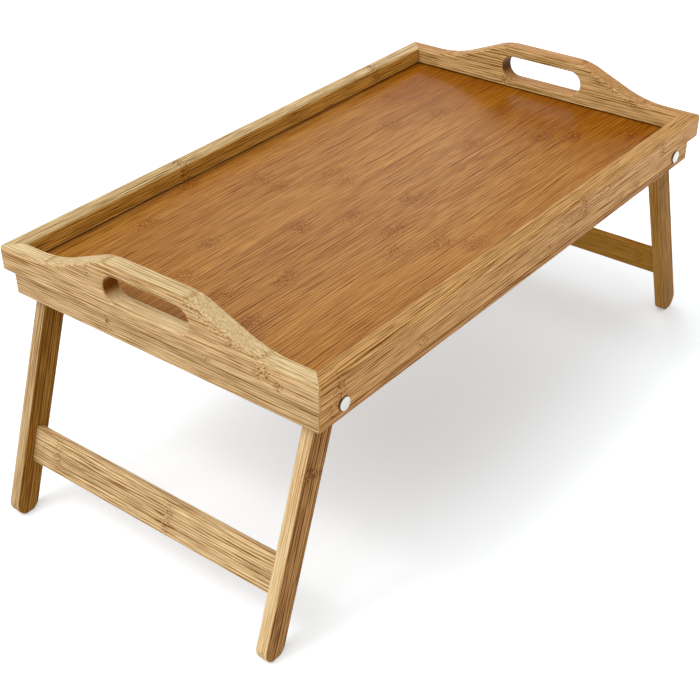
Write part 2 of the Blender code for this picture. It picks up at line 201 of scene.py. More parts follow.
# The grain of bamboo. Its vessel bundles lie side by side 0.5 mm apart in the real culm, and are drawn four
# to five times as coarse, so that they show from a step away as fine straight lines. Lengths along the grain
# and widths across it are in metres. The last two numbers of a layer are the levels of its noise where it
# starts and where it is full.
THREAD_PITCH = 0.0021
SWAY_LENGTH = 0.090
SWAY_PITCHES = 1.8
SWAY_ANGLE = 13.0
BREAK_LENGTH = 0.060
BREAK_LEVELS = (0.36, 0.62, 0.25)
THREAD_START = -0.7
POINTS = (0.0017, 0.0010, 0.42, 0.64)
FIBRES = (0.026, 0.0006, 0.46, 0.60)
BANDS = (0.130, 0.0022, 0.36, 0.64)
VEILS = (0.240, 0.0100, 0.34, 0.66)
THREAD_SHARE = 0.92
FIBRE_SHARE = 0.62
BAND_SHARE = 0.16
VEIL_SHARE = 0.16
TONE_SHARE = 0.24
LAYERS_CENTER = 0.80
WANDER = (0.150, 0.024, 0.0045)
CURL_LENGTH = 0.0040
CURL_WIDTH = 0.0030
CURL_PUSH = 0.0030
STRIP_SHIFT = (3.0, 0.02, 0.02)

# Marks where the culm had its nodes, and lines of glue
FAR_AWAY = 9.0
RIM_GRIT = 330.0
RIM_RAGGED = 1.1
RIM_FADE = (0.1, 1.2)
NODE_HALF_LENGTH = 0.0160
STRIP_IN_HALF_NODES = 1.8
KNOT_LINES = 0.25
KNOT_GROUND = 0.08
GLUE_WIDTH = 0.0001
GLUE_FADE = 0.0005
GLUE_DARKNESS = 0.4
LAST_SEAM = (0.0003, 0.0008)
LAST_SEAM_DARKNESS = 0.5

# Lacquer, and what it does on end grain and on sanded edges. A facing is 0 across an axis and 1 along it.
EDGE_FACING = (0.45, 0.80)
CROSS_FACING = (0.10, 0.60)
CROSS_SHARE = 0.7
SOAK_FACING = (0.50, 0.95)
SOAK_AND_SHADE_DARKNESS = (0.45, 1.2)
SQUARE_FACING = (0.80, 0.98)
DARK_RANGE = (-0.1, 1.2)
# The end grain tint is partly painted shade, standing for the shade inside the hand slot
END_GRAIN_AND_SHADE = "#BC9458"
EDGE_REACH = 0.0012
EDGE_BEND = (0.995, 0.90)
# The paler rims are partly a painted highlight along the arrises
EDGE_WEAR_AND_HIGHLIGHT = 0.40
LACQUER_IOR = 1.45
LACQUER_SHINE = 0.04
PORE_ROUGHNESS = 0.10
PORE_STRENGTH = 0.35
PORE_DEPTH = 0.00012


def linear(hex_color):
    """Linear colour of an sRGB hex value."""
    parts = [int(hex_color[index:index + 2], 16) / 255 for index in (1, 3, 5)]
    return (*[p / 12.92 if p <= 0.04045 else ((p + 0.055) / 1.055) ** 2.4 for p in parts], 1.0)


def add(tree, kind, links=None, **settings):
    """New node with its settings, and with input name or number to value or output in links."""
    node = tree.nodes.new(kind)
    for key, value in settings.items():
        setattr(node, key, value)
    for key, value in (links or {}).items():
        socket = node.inputs[key]
        if isinstance(value, bpy.types.NodeSocket):
            tree.links.new(value, socket)
        else:
            socket.default_value = value
    return node


def cloud_of(tree, vector, length, width):
    """Noise drawn out along the grain, its clouds of about that length and width."""
    drawn = add(tree, "ShaderNodeMapping", {"Vector": vector, "Scale": (1 / length, 1 / width, 1 / width)})
    return add(tree, "ShaderNodeTexNoise", {"Vector": drawn.outputs[0], "Scale": 1.0, "Detail": 2.0}).outputs


def layer_of(tree, vector, length, width, low, high, least=0.0):
    """Cloud that is at its least below its low level and 1 above its high one."""
    cloud = cloud_of(tree, vector, length, width)["Fac"]
    return add(tree, "ShaderNodeMapRange", {0: cloud, 1: low, 2: high, 3: least}).outputs[0]


def bent_by(tree, vector, length, width, push):
    """The vector pushed about by a cloud."""
    cloud = cloud_of(tree, vector, length, width)["Color"]
    off = add(tree, "ShaderNodeVectorMath", {0: cloud, 1: (0.5, 0.5, 0.5)}, operation="SUBTRACT").outputs[0]
    off = add(tree, "ShaderNodeVectorMath", {0: off, "Scale": push}, operation="SCALE").outputs[0]
    return add(tree, "ShaderNodeVectorMath", {0: vector, 1: off}).outputs[0]


def gap_to_patches(tree, grain, patches):
    """Distance to the nearest oval patch, which is 1 on its outline."""
    gap = FAR_AWAY
    for place, level, half_length, half_height in patches:
        off = add(tree, "ShaderNodeMapping", {"Vector": grain, "Scale": (1 / half_length, 0, 1 / half_height),
                                              "Location": (-place / half_length, 0, -level / half_height)})
        far = add(tree, "ShaderNodeVectorMath", {0: off.outputs[0]}, operation="LENGTH").outputs["Value"]
        gap = add(tree, "ShaderNodeMath", {0: far, 1: gap}, operation="MINIMUM").outputs[0]
    return gap


def gap_to_carried(tree, grain, strips):
    """The same for the culm nodes that the mesh carries, each of which reaches right across its strip."""
    places = add(tree, "ShaderNodeAttribute", attribute_name="culm_nodes").outputs["Vector"]
    reach = add(tree, "ShaderNodeSeparateXYZ", {0: grain}).outputs[0]
    level = add(tree, "ShaderNodeVectorMath", {0: strips}, operation="FRACTION").outputs[0]
    level = add(tree, "ShaderNodeSeparateXYZ", {0: level}).outputs[1]
    level = add(tree, "ShaderNodeMath",
                {0: level, 1: STRIP_IN_HALF_NODES, 2: -STRIP_IN_HALF_NODES / 2},
                operation="MULTIPLY_ADD").outputs[0]
    gap = FAR_AWAY
    for place in add(tree, "ShaderNodeSeparateXYZ", {0: places}).outputs:
        off = add(tree, "ShaderNodeMath", {0: reach, 1: place}, operation="SUBTRACT").outputs[0]
        off = add(tree, "ShaderNodeMath", {0: off, 1: NODE_HALF_LENGTH}, operation="DIVIDE").outputs[0]
        off = add(tree, "ShaderNodeCombineXYZ", {0: off, 1: level}).outputs[0]
        far = add(tree, "ShaderNodeVectorMath", {0: off}, operation="LENGTH").outputs["Value"]
        gap = add(tree, "ShaderNodeMath", {0: far, 1: gap}, operation="MINIMUM").outputs[0]
    return gap


def faded(tree, gap, ragged):
    """1 in the middle of a patch, falling to 0 at a ragged rim."""
    rim = add(tree, "ShaderNodeMath", {0: ragged, 1: RIM_RAGGED, 2: -RIM_RAGGED / 2},
              operation="MULTIPLY_ADD").outputs[0]
    rim = add(tree, "ShaderNodeMath", {0: rim, 1: gap}, operation="ADD").outputs[0]
    return add(tree, "ShaderNodeMapRange", {0: rim, 1: RIM_FADE[0], 2: RIM_FADE[1], 3: 1.0, 4: 0.0},
               interpolation_type="SMOOTHSTEP").outputs[0]


def threads_of(tree, bent, side, across, pitch):
    """Vessel bundles as fine lines that sway a little, and fade in and out along their length."""
    levels = add(tree, "ShaderNodeSeparateXYZ", {0: bent}).outputs
    lay = add(tree, "ShaderNodeMix", {0: side, 2: levels[across], 3: levels[3 - across]}).outputs[0]
    lay = add(tree, "ShaderNodeMath", {0: lay, 1: 2 * math.pi / pitch}, operation="MULTIPLY").outputs[0]
    sway = cloud_of(tree, bent, SWAY_LENGTH, pitch * SWAY_PITCHES)["Fac"]
    lay = add(tree, "ShaderNodeMath", {0: sway, 1: SWAY_ANGLE, 2: lay}, operation="MULTIPLY_ADD").outputs[0]
    lines = add(tree, "ShaderNodeMath", {0: lay}, operation="SINE").outputs[0]
    lines = add(tree, "ShaderNodeMapRange", {0: lines, 1: THREAD_START, 2: 1.0}).outputs[0]
    fade = layer_of(tree, bent, BREAK_LENGTH, pitch, *BREAK_LEVELS)
    return add(tree, "ShaderNodeMath", {0: lines, 1: fade}, operation="MULTIPLY").outputs[0]


def with_glue(tree, amount, strips, strip):
    """The amount of dark, with a thin dark line of glue where two strips meet."""
    rest = add(tree, "ShaderNodeVectorMath", {0: strips}, operation="FRACTION").outputs[0]
    rest = add(tree, "ShaderNodeVectorMath", {0: rest, 1: (0.5, 0.5, 0.5)}, operation="SUBTRACT").outputs[0]
    rest = add(tree, "ShaderNodeVectorMath", {0: rest}, operation="ABSOLUTE").outputs[0]
    rest = add(tree, "ShaderNodeSeparateXYZ", {0: rest}).outputs
    for gap, width in ((rest[1], strip[0]), (rest[2], strip[1])):
        glue = add(tree, "ShaderNodeMapRange", {0: gap, 1: 0.5 - GLUE_FADE / width,
                                                2: 0.5 - GLUE_WIDTH / width, 4: GLUE_DARKNESS}).outputs[0]
        amount = add(tree, "ShaderNodeMath", {0: glue, 1: amount}, operation="ADD").outputs[0]
    return amount


def with_last_strip(tree, amount, grain, last):
    """The amount of dark, with more of it below level 0 and a line of glue there."""
    level = add(tree, "ShaderNodeSeparateXYZ", {0: grain}).outputs[2]
    below = add(tree, "ShaderNodeMapRange",
                {0: level, 1: -GLUE_WIDTH, 2: GLUE_WIDTH, 3: last, 4: 0.0}).outputs[0]
    off = add(tree, "ShaderNodeMath", {0: level}, operation="ABSOLUTE").outputs[0]
    seam = add(tree, "ShaderNodeMapRange", {0: off, 1: LAST_SEAM[0], 2: LAST_SEAM[1], 3: LAST_SEAM_DARKNESS,
                                            4: 0.0}).outputs[0]
    seam = add(tree, "ShaderNodeMath", {0: below, 1: seam}, operation="MAXIMUM").outputs[0]
    return add(tree, "ShaderNodeMath", {0: amount, 1: seam}, operation="ADD").outputs[0]


def bamboo(name, turn, center, face, edge, marks, strip, along=0, across=2, depth=1.0, roughness=0.34,
           pitch=THREAD_PITCH, last=0.0, dots=(), carried=False, end_shade=None, knots=1.0):
    """Lacquered laminated bamboo: pale ground, fine dark lines and a soft satin shine.

    turn and center bring the grain onto X, and along is the object's axis nearest to it. face and edge are
    the pale ground and dark bundle colours of a strip's broad side and of its edge, which shows where the
    surface faces along the across axis. strip is a strip's width and height: each strip has its own tone, and
    one that is larger than the board leaves it whole. marks are the nodes of the culm, where the lines curl,
    break up and darken: each is a place along the grain, a level, and half its length and height. carried
    takes them from the mesh instead, and knots is their strength. dots are patches of the same form where the
    cut crosses the bundles and shows their ends. depth is the contrast of the lines and pitch their spacing.
    last darkens the strip below level 0. end_shade is a tint of painted shade, and where along the grain it
    starts and is full.
    """
    material = bpy.data.materials.new(name)
    material.use_nodes = True
    tree = material.node_tree
    shader = tree.nodes["Principled BSDF"]
    spot = add(tree, "ShaderNodeTexCoord").outputs
    grain = add(tree, "ShaderNodeMapping", {"Vector": spot["Object"], "Location": center, "Rotation": turn},
                vector_type="TEXTURE").outputs[0]

    # Each strip across the board has its own number, which shifts its pattern and sets its tone
    strips = add(tree, "ShaderNodeMapping", {"Vector": grain, "Scale": (0, 1 / strip[0], 1 / strip[1]),
                                             "Location": (0.5, 0, 0)}).outputs[0]
    number = add(tree, "ShaderNodeVectorMath", {0: strips}, operation="FLOOR").outputs[0]
    chance = add(tree, "ShaderNodeTexWhiteNoise", {"Vector": number}, noise_dimensions="3D").outputs

    ragged = add(tree, "ShaderNodeTexNoise",
                 {"Vector": grain, "Scale": RIM_GRIT, "Detail": 2.0}).outputs["Fac"]
    gap = gap_to_carried(tree, grain, strips) if carried else gap_to_patches(tree, grain, marks)
    near = faded(tree, gap, ragged)
    near = add(tree, "ShaderNodeMath", {0: near, 1: knots}, operation="MULTIPLY").outputs[0]
    dotted = faded(tree, gap_to_patches(tree, grain, dots), ragged)
    broken = add(tree, "ShaderNodeMath", {0: near, 1: dotted}, operation="MAXIMUM").outputs[0]

    # The grain wanders a little everywhere and curls at the nodes
    bent = bent_by(tree, grain, *WANDER)
    curl = add(tree, "ShaderNodeMath", {0: near, 1: CURL_PUSH}, operation="MULTIPLY").outputs[0]
    bent = bent_by(tree, bent, CURL_LENGTH, CURL_WIDTH, curl)
    shift = add(tree, "ShaderNodeVectorMath", {0: chance["Color"], 1: STRIP_SHIFT}, operation="MULTIPLY")
    bent = add(tree, "ShaderNodeVectorMath", {0: bent, 1: shift.outputs[0]}).outputs[0]

    # Broad sides and edges of the strips are told apart by the way they face
    normal = add(tree, "ShaderNodeSeparateXYZ", {0: spot["Normal"]}).outputs
    side = add(tree, "ShaderNodeMath", {0: normal[across]}, operation="ABSOLUTE").outputs[0]
    side = add(tree, "ShaderNodeMapRange", {0: side, 1: EDGE_FACING[0], 2: EDGE_FACING[1]}).outputs[0]

    # Threads, fibres, bands, veils and the strip's tone add up to the amount of dark, on average about half
    threads = threads_of(tree, bent, side, across, pitch)
    fine = add(tree, "ShaderNodeMix", {0: broken, 2: threads, 3: layer_of(tree, bent, *POINTS)}).outputs[0]
    amount = 0.5 - LAYERS_CENTER * depth
    for layer, share in ((fine, THREAD_SHARE),
                         (layer_of(tree, bent, *FIBRES), FIBRE_SHARE),
                         (layer_of(tree, bent, *BANDS), BAND_SHARE),
                         (layer_of(tree, bent, *VEILS), VEIL_SHARE),
                         (chance["Value"], TONE_SHARE)):
        amount = add(tree, "ShaderNodeMath", {0: layer, 1: share * depth, 2: amount},
                     operation="MULTIPLY_ADD").outputs[0]
    knot = add(tree, "ShaderNodeMath", {0: fine, 1: KNOT_LINES, 2: KNOT_GROUND},
               operation="MULTIPLY_ADD").outputs[0]
    amount = add(tree, "ShaderNodeMath", {0: near, 1: knot, 2: amount}, operation="MULTIPLY_ADD").outputs[0]
    amount = with_glue(tree, amount, strips, strip)
    if last:
        amount = with_last_strip(tree, amount, grain, last)

    # Lacquer soaks in where a cut crosses the bundles and evens the colour out; square cuts get end grain and
    # painted shade
    crossing = add(tree, "ShaderNodeMath", {0: normal[along]}, operation="ABSOLUTE").outputs[0]
    # The darkest soak and the end grain tint are partly painted shade, for the shade inside the hand slot
    soaked_and_shaded = add(tree, "ShaderNodeMapRange", {0: crossing, 1: SOAK_FACING[0], 2: SOAK_FACING[1],
                                              3: SOAK_AND_SHADE_DARKNESS[0], 4: SOAK_AND_SHADE_DARKNESS[1]}).outputs[0]
    square_cut_shade = add(tree, "ShaderNodeMapRange",
                 {0: crossing, 1: SQUARE_FACING[0], 2: SQUARE_FACING[1]}).outputs[0]
    crossing = add(tree, "ShaderNodeMapRange", {0: crossing, 1: CROSS_FACING[0], 2: CROSS_FACING[1], 3: 0.0,
                                                4: CROSS_SHARE}).outputs[0]
    amount = add(tree, "ShaderNodeMix", {0: crossing, 2: amount, 3: soaked_and_shaded}).outputs[0]
    amount = add(tree, "ShaderNodeClamp", {0: amount, 1: DARK_RANGE[0], 2: DARK_RANGE[1]}).outputs[0]

    # Broad sides and edges have their own ground and bundle colours
    colors = [add(tree, "ShaderNodeMix", {0: amount, 6: linear(pair[0]), 7: linear(pair[1])},
                  data_type="RGBA", clamp_factor=False).outputs[2] for pair in (face, edge)]
    color = add(tree, "ShaderNodeMix", {0: side, 6: colors[0], 7: colors[1]}, data_type="RGBA").outputs[2]
    color = add(tree, "ShaderNodeMix", {0: square_cut_shade, 6: color, 7: linear(END_GRAIN_AND_SHADE)}, data_type="RGBA",
                blend_type="MULTIPLY").outputs[2]
    # Painted shade: the tint darkens one end of the grain, standing for the end rail's shade and dark
    # reflection
    if end_shade:
        tint, start, full = end_shade
        reach = add(tree, "ShaderNodeSeparateXYZ", {0: grain}).outputs[0]
        end_shade_share = add(tree, "ShaderNodeMapRange", {0: reach, 1: start, 2: full},
                    interpolation_type="SMOOTHSTEP").outputs[0]
        color = add(tree, "ShaderNodeMix", {0: end_shade_share, 6: color, 7: linear(tint)}, data_type="RGBA",
                    blend_type="MULTIPLY").outputs[2]

    # Sanded edges have lost a little colour, and their paler rims are also a painted highlight along the
    # arrises
    eased = add(tree, "ShaderNodeBevel", {"Radius": EDGE_REACH}, samples=4).outputs[0]
    facing = add(tree, "ShaderNodeNewGeometry").outputs["Normal"]
    bend = add(tree, "ShaderNodeVectorMath", {0: eased, 1: facing}, operation="DOT_PRODUCT").outputs["Value"]
    worn_and_highlight = add(tree, "ShaderNodeMapRange",
               {0: bend, 1: EDGE_BEND[0], 2: EDGE_BEND[1], 3: 0.0, 4: EDGE_WEAR_AND_HIGHLIGHT}).outputs[0]
    color = add(tree, "ShaderNodeMix", {0: worn_and_highlight, 6: color, 7: linear(edge[0])}, data_type="RGBA").outputs[2]
    tree.links.new(color, shader.inputs["Base Color"])

    # Satin lacquer sinks a little into the open bundles
    rough = add(tree, "ShaderNodeMapRange", {0: fine, 3: roughness, 4: roughness + PORE_ROUGHNESS}).outputs[0]
    tree.links.new(rough, shader.inputs["Roughness"])
    bump = add(tree, "ShaderNodeBump", {"Height": amount, "Strength": PORE_STRENGTH, "Distance": PORE_DEPTH},
               invert=True).outputs[0]
    tree.links.new(bump, shader.inputs["Normal"])
    shader.inputs["IOR"].default_value = LACQUER_IOR
    shader.inputs["Specular IOR Level"].default_value = LACQUER_SHINE
    return material


ALONG_X = (0.0, 0.0, 0.0)
ALONG_Y = (0.0, 0.0, math.pi / 2)
SIDE_FACES = {"front": ("#FDC682", "#A76C32"), "back": ("#E4B055", "#976622")}
SIDE_EDGES = {"front": ("#D2A262", "#845724"), "back": ("#E2C48F", "#8E6B38")}
SIDE_STRIP = (0.3, 0.0345)
LAST_STRIP = 0.0338
LAST_DARKNESS = 0.12
pivot_low, pivot_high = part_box("pivot_bolt_front_right")
PIVOT_X = (pivot_low.x + pivot_high.x) / 2
PIVOT_HEIGHT = (pivot_low.z + pivot_high.z) / 2
PIVOT_HOLE = 0.00355
HOLE_REACH = 0.02

# A shallow seat, a little wider than the screw's head, draws a thin dark line round it
SINK_ROOM = 0.0005
SINK_RADIUS = (pivot_high.x - pivot_low.x) / 2 + SINK_ROOM
SINK_DEPTH = 0.0006

# Levels of the marks above the last strip, on the upper band and on the stepped lower part
UPPER = LAST_STRIP - 0.009
LOWER = LAST_STRIP - 0.027
side_marks = {
    "front": ((-0.230, 0.016, 0.007, 0.020), (0.060, UPPER, 0.010, 0.011), (-0.138, LOWER, 0.008, 0.005),
              (0.020, LOWER, 0.007, 0.005), (0.154, LOWER, 0.009, 0.006), (0.186, UPPER, 0.008, 0.008)),
    "back": ((-0.077, 0.030, 0.006, 0.030), (0.170, 0.030, 0.006, 0.030))}
side_dots = {
    "front": ((0.032, UPPER, 0.020, 0.005), (0.060, UPPER + 0.001, 0.022, 0.008),
              (0.090, UPPER + 0.003, 0.020, 0.005)),
    "back": ()}
for side, turn in (("front", 0.0), ("back", math.pi)):
    stuff = bamboo(side + "_rail_bamboo", ALONG_X, (0, 0, RIM_HEIGHT - LAST_STRIP), SIDE_FACES[side],
                   SIDE_EDGES[side], side_marks[side], SIDE_STRIP, last=LAST_DARKNESS, dots=side_dots[side])
    level = PIVOT_HEIGHT - RIM_HEIGHT
    holes = [drill((x, -HALF_WIDTH - DRILL_START, level), (x, -HALF_WIDTH + reach, level), radius)
             for x in (-PIVOT_X, PIVOT_X)
             for reach, radius in ((HOLE_REACH, PIVOT_HOLE), (STEP_DEPTH + SINK_DEPTH, SINK_RADIUS))]
    piece = rail(side + "_rail", stuff, HALF_LENGTH, HALF_WIDTH, turn, [], holes)
    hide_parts(side + "_side_rail")
    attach(piece, "tray")


# End rails
# Short mitred rails with the arched handle and its hand slot. Each is band-sawn to the arch from a wide glued
# board and its slot is routed, so the arch cuts across the bundles and shows their ends as dots.
ARCH_RISE = end_high.z - RIM_HEIGHT
ARCH_FLAT = 0.060
ARCH_LEVEL = 0.0155
ARCH_CROWN_RADIUS = 0.050
ARCH_FOOT_RADIUS = 0.100
ARCH_STEPS = 20
SLOT_LENGTH = 0.078
SLOT_HEIGHT = 0.0208
SLOT_DROP = 0.0087
SLOT_ROUND = 0.0014
SLOT_STEPS = 28
END_FACES = {"left": ("#F6CF9A", "#A97F49"), "right": ("#EBC789", "#936D35")}
END_EDGES = {"left": ("#EED3A3", "#B2915C"), "right": ("#D5A46C", "#946532")}
END_STRIP = (0.3, 0.0205)


def arch_half():
    """Right half of the arch as (distance from the middle, rise): a crown arc, a slope and a foot arc."""
    start = ARCH_FLAT / 2
    stop = HALF_WIDTH - RAIL_THICKNESS - ARCH_LEVEL
    run = stop - start
    radii = ARCH_CROWN_RADIUS + ARCH_FOOT_RADIUS
    slope = math.asin(radii / math.hypot(run, radii - ARCH_RISE)) - math.atan2(radii - ARCH_RISE, run)
    turn = math.degrees(slope)
    crown = arc((start, ARCH_RISE - ARCH_CROWN_RADIUS), ARCH_CROWN_RADIUS, 90, 90 - turn, ARCH_STEPS)
    return crown + arc((stop, ARCH_FOOT_RADIUS), ARCH_FOOT_RADIUS, 270 - turn, 270, ARCH_STEPS)


def slot_tool():
    """Cutter of the hand slot: a stadium whose two rims flare into rounded edges."""
    walls = [(-SLOT_ROUND, SLOT_ROUND)] + arc((SLOT_ROUND, SLOT_ROUND), SLOT_ROUND, 180, 270, ROUND_STEPS)
    walls += [(RAIL_THICKNESS - depth, flare) for depth, flare in reversed(walls)]
    middle = ARCH_RISE - SLOT_DROP - SLOT_HEIGHT / 2
    half_straight = (SLOT_LENGTH - SLOT_HEIGHT) / 2
    rings = []
    for depth, flare in walls:
        outline = arc((half_straight, middle), SLOT_HEIGHT / 2 + flare, -90, 90, SLOT_STEPS)
        outline += arc((-half_straight, middle), SLOT_HEIGHT / 2 + flare, 90, 270, SLOT_STEPS)
        rings.append([(along, depth - HALF_LENGTH, height) for along, height in outline])
    return loft(rings)


right_half = arch_half()
arch = [(-along, rise) for along, rise in reversed(right_half)] + right_half

# Levels of the marks and dots above the step, with a row of dots down the arch's front slope
end_marks = {
    "left": ((0.054, 0.030, 0.004, 0.004), (0.045, -0.010, 0.004, 0.010), (-0.052, 0.002, 0.005, 0.004),
             (-0.099, 0.012, 0.009, 0.009), (-0.112, 0.006, 0.006, 0.005)),
    "right": ((0.034, 0.011, 0.007, 0.007),)}
end_dots = {
    "left": ((-0.040, 0.037, 0.010, 0.004), (-0.049, 0.034, 0.011, 0.005), (-0.058, 0.031, 0.011, 0.006),
             (-0.067, 0.027, 0.011, 0.006), (-0.076, 0.023, 0.011, 0.005)),
    "right": ((-0.058, 0.032, 0.012, 0.004), (-0.072, 0.027, 0.012, 0.005), (-0.086, 0.021, 0.012, 0.004))}
for side, turn in (("right", math.pi / 2), ("left", -math.pi / 2)):
    stuff = bamboo(side + "_rail_bamboo", ALONG_Y, (0, 0, RIM_HEIGHT - BAND_HEIGHT), END_FACES[side],
                   END_EDGES[side], end_marks[side], END_STRIP, along=1, dots=end_dots[side])
    piece = rail(side + "_rail", stuff, HALF_WIDTH, HALF_LENGTH, turn, arch, [slot_tool()])
    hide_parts(side + "_end_rail")
    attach(piece, "tray")


# Panel
# Thin board of carbonised bamboo strips glued edge to edge, sanded flat and lacquered, held in the rails'
# grooves. Steaming turned the sugars brown, so it is darker and redder than the frame.
PANEL_FACE = ("#BC853D", "#8A4F14")
# Painted shade at the panel's right end, standing for the end rail's shade and its dark reflection in the
# lacquer
PANEL_END_SHADE = ("#E2CA70", 0.09, 0.22)
PANEL_ROUGHNESS = 0.20
PANEL_PITCH = 0.0026
PANEL_CONTRAST = 0.85
WHOLE = 1.0

# Places of the culm nodes along each strip, from the back strip to the front one
PANEL_NODES = [(-0.082,), (-0.145, 0.155), (-0.040,), (-0.040, 0.105), (-0.139, 0.005, 0.151),
               (-0.185, 0.001), (-0.084, 0.188), (-0.189, -0.047, 0.113), (-0.145, 0.003),
               (-0.205, -0.044, 0.160), (-0.070, 0.176), (-0.040,), (-0.024, 0.210), (-0.170, 0.090)]
OFF_THE_BOARD = 1.0
STRIP_WIDTH = (panel_high.y - panel_low.y) / len(PANEL_NODES)


def strip_tree():
    """Geometry nodes that lay one board on each point of a row. The boards keep the points' attributes."""
    tree = bpy.data.node_groups.new("panel strips", "GeometryNodeTree")
    face = tree.interface
    face.new_socket("Geometry", in_out="INPUT", socket_type="NodeSocketGeometry")
    face.new_socket("Length", in_out="INPUT", socket_type="NodeSocketFloat")
    face.new_socket("Width", in_out="INPUT", socket_type="NodeSocketFloat")
    face.new_socket("Thickness", in_out="INPUT", socket_type="NodeSocketFloat")
    face.new_socket("Material", in_out="INPUT", socket_type="NodeSocketMaterial")
    face.new_socket("Geometry", in_out="OUTPUT", socket_type="NodeSocketGeometry")
    given = tree.nodes.new("NodeGroupInput").outputs
    size = add(tree, "ShaderNodeCombineXYZ", {0: given["Length"], 1: given["Width"], 2: given["Thickness"]})
    board = add(tree, "GeometryNodeMeshCube", {"Size": size.outputs[0]}).outputs["Mesh"]
    boards = add(tree, "GeometryNodeInstanceOnPoints", {"Points": given["Geometry"], "Instance": board})
    real = add(tree, "GeometryNodeRealizeInstances", {"Geometry": boards.outputs[0]})
    done = add(tree, "GeometryNodeSetMaterial", {"Geometry": real.outputs[0], "Material": given["Material"]})
    add(tree, "NodeGroupOutput", {0: done.outputs[0]})
    return tree


def grown(piece, tree, values):
    """Plain mesh from the piece under a geometry nodes tree with the named values set."""
    modifier = piece.modifiers.new("grow", "NODES")
    modifier.node_group = tree
    for item in tree.interface.items_tree:
        if item.in_out == "INPUT" and item.name in values:
            modifier[item.identifier] = values[item.name]
    piece.data = applied(piece)
    piece.modifiers.clear()
    return piece


panel_stuff = bamboo("panel_carbonised_bamboo", ALONG_X, (0, panel_low.y, 0), PANEL_FACE, PANEL_FACE, (),
                     (STRIP_WIDTH, WHOLE), depth=PANEL_CONTRAST, roughness=PANEL_ROUGHNESS,
                     pitch=PANEL_PITCH, carried=True, end_shade=PANEL_END_SHADE)
row = bpy.data.meshes.new("panel_strips")
middle = (panel_low + panel_high) / 2
row.from_pydata([(middle.x, panel_high.y - STRIP_WIDTH * (index + 0.5), middle.z)
                 for index in range(len(PANEL_NODES))], [], [])
culm_nodes = row.attributes.new("culm_nodes", "FLOAT_VECTOR", "POINT")
for index, places in enumerate(PANEL_NODES):
    culm_nodes.data[index].vector = (*places, OFF_THE_BOARD, OFF_THE_BOARD)[:3]
panel = bpy.data.objects.new("panel_strips", row)
bpy.context.scene.collection.objects.link(panel)
grown(panel, strip_tree(), {"Length": panel_high.x - panel_low.x, "Width": STRIP_WIDTH,
                            "Thickness": panel_high.z - panel_low.z, "Material": panel_stuff})
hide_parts("tray_panel")
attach(panel, "tray")


# Legs
# Flat bamboo legs, glued from two strips, with both ends rounded over and the long edges eased with
# sandpaper. The feet are worn flat where they stand.
leg_low, leg_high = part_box("front_right_leg")
LEG_WIDTH = 0.020
LEG_REACH = 0.1915
LEG_ROUND = 0.0008
LEG_SPLAY = math.radians(19.8)
LEG_TOP_STEPS = 32
LEG_FOOT_STEPS = 14
FOOT_WEAR = 0.0006
LEG_THICKNESS = leg_high.y - leg_low.y
LEG_Y = -(leg_low.y + leg_high.y) / 2
LEG_STRIP = (0.005, 0.1)
# All legs' narrow edges are paler than their broad faces, partly grain and partly painted light from the
# left.
# The right legs are painted darker and more orange than the left ones, as painted shade.
LEG_FACES_AND_SHADE = {"front_left": ("#E9B572", "#925D28"), "back_left": ("#CB9946", "#8C5A1D"),
             "front_right": ("#CE9238", "#94641C"), "back_right": ("#D0A060", "#986838")}
LEG_EDGES_AND_LIGHT = {"front_left": ("#FDE6B4", "#C9985F"), "back_left": ("#ECCC9B", "#946A3A"),
             "front_right": ("#E8B45E", "#AC7836"), "back_right": ("#D8AC6C", "#A07840")}


def leg_outline():
    """Leg from the side as (outward, down): round top, round foot worn flat on the floor."""
    radius = LEG_WIDTH / 2
    center = LEG_REACH - radius
    splay = math.degrees(LEG_SPLAY)
    flat = math.degrees(math.acos(1 - FOOT_WEAR / radius))
    outline = arc((0, 0), radius, 0, -180, LEG_TOP_STEPS)
    outline += arc((0, center), radius, 180, 90 + splay + flat, LEG_FOOT_STEPS)
    return outline + arc((0, center), radius, 90 + splay - flat, 0, LEG_FOOT_STEPS)


def leg_form():
    """Leg with rounded rims, its pivot at the origin and its outline in X and Z."""
    bm = bmesh.new()
    face = bm.faces.new([bm.verts.new((x, -LEG_THICKNESS / 2, -z)) for x, z in leg_outline()])
    far = [item for item in bmesh.ops.extrude_face_region(bm, geom=[face])["geom"]
           if isinstance(item, bmesh.types.BMVert)]
    bmesh.ops.translate(bm, verts=far, vec=(0, LEG_THICKNESS, 0))
    rims = [edge for edge in bm.edges if abs(edge.verts[0].co.y - edge.verts[1].co.y) < SEAM]
    bmesh.ops.bevel(bm, geom=rims, offset=LEG_ROUND, segments=EDGE_STEPS, profile=0.5, affect="EDGES",
                    clamp_overlap=True)
    return bm


def leg_place(outward, y):
    """Matrix that hangs a form made at the pivot on its leg frame, turned to its splay."""
    turn = Matrix.Rotation(-outward * LEG_SPLAY, 4, "Y")
    mirror = Matrix.Diagonal((outward, 1, 1, 1))
    return Matrix.Translation((outward * PIVOT_X, y, PIVOT_HEIGHT)) @ turn @ mirror


